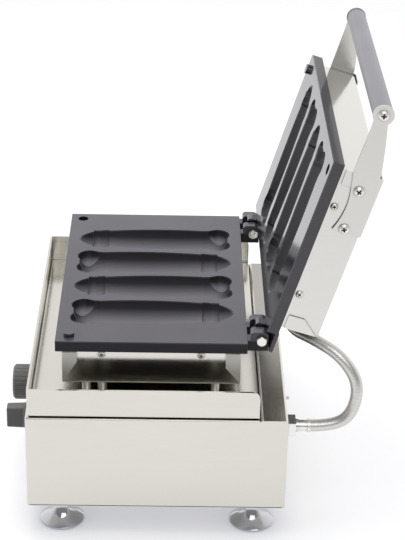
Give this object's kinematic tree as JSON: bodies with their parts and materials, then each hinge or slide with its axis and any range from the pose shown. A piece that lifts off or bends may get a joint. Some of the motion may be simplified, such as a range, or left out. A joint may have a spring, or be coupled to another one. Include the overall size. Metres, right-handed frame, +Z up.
{
  "type": "waffle maker",
  "caption": "Countertop waffle maker with an open lid: cast mould plates with long shaped cavities, steel base and tray, bar handle, front knobs, bell feet and a braided hose.",
  "frame": {"origin": "centre of the outline on the table, between the knob tips and the back of the handle", "axes": "+Z up, -Y towards the front with the knobs, +X towards the right side"},
  "size_m": [0.374, 0.4001, 0.4921],
  "materials": {
    "black_plastic": "satin",
    "brushed_steel": "brushed",
    "cast_aluminium": "non-stick satin",
    "chrome": "polished",
    "grip_plastic": "satin",
    "heater_steel": "dull",
    "hose_braid": "braided",
    "insulation_felt": "felt",
    "lamp_lens": "clear",
    "screw_steel": "zinc plated",
    "sleeve_rubber": "matt"
  },
  "bodies": {
    "base": {"base_bottom_plate": "brushed_steel", "base_shell": "brushed_steel", "base_top_plate": "brushed_steel", "casing_standoff_1": "screw_steel", "casing_standoff_2": "screw_steel", "casing_standoff_3": "screw_steel", "casing_standoff_4": "screw_steel", "casing_standoff_5": "screw_steel", "casing_standoff_6": "screw_steel", "cord_gland": "black_plastic", "drip_tray": "brushed_steel", "foot_front_left": "chrome", "foot_front_right": "chrome", "foot_rear_left": "chrome", "foot_rear_right": "chrome", "hinge_bolt_left": "screw_steel", "hinge_bolt_right": "screw_steel", "hinge_nut_left": "screw_steel", "hinge_nut_right": "screw_steel", "hose": "hose_braid", "hose_block": "screw_steel", "hose_ferrule": "screw_steel", "lower_casing": "brushed_steel", "lower_casing_screws": "screw_steel", "lower_clamp_screws": "screw_steel", "lower_heater": "heater_steel", "lower_heater_clamp": "brushed_steel", "lower_insulation": "insulation_felt", "lower_plate": "cast_aluminium", "pilot_lamp_1": "lamp_lens", "pilot_lamp_2": "lamp_lens", "rear_panel": "brushed_steel", "rear_screws": "screw_steel", "terminal_block": "black_plastic", "thermostat": "black_plastic", "timer": "black_plastic", "tray_spacers": "screw_steel", "wiring_sleeve": "sleeve_rubber"},
    "lid": {"arm_nuts": "screw_steel", "arm_screws": "screw_steel", "handle_arm_left": "brushed_steel", "handle_arm_right": "brushed_steel", "handle_grip": "grip_plastic", "handle_ring_left": "black_plastic", "handle_ring_right": "black_plastic", "handle_screw_left": "screw_steel", "handle_screw_right": "screw_steel", "handle_tie_rod": "screw_steel", "lid_hose_gland": "screw_steel", "upper_casing": "brushed_steel", "upper_casing_screws": "screw_steel", "upper_clamp_screws": "screw_steel", "upper_heater": "heater_steel", "upper_heater_clamp": "brushed_steel", "upper_insulation": "insulation_felt", "upper_plate": "cast_aluminium"},
    "temperature_knob": {"temperature_knob": "black_plastic", "temperature_shaft": "screw_steel"},
    "timer_knob": {"timer_knob": "black_plastic", "timer_shaft": "screw_steel"}
  },
  "joints": [
    {"name": "lid_hinge", "type": "hinge", "parent": "base", "child": "lid", "pos_m": [0, 0.07745, 0.2238], "axis": [1, 0, 0], "range_deg": [0, 107], "deforming": ["hose"]},
    {"name": "temperature_turn", "type": "hinge", "parent": "base", "child": "temperature_knob", "pos_m": [0.025, -0.17235, 0.095], "axis": [0, -1, 0], "range_deg": [-270, 0]},
    {"name": "timer_turn", "type": "hinge", "parent": "base", "child": "timer_knob", "pos_m": [0.0985, -0.17235, 0.095], "axis": [0, -1, 0], "range_deg": [-300, 0]}
  ]
}
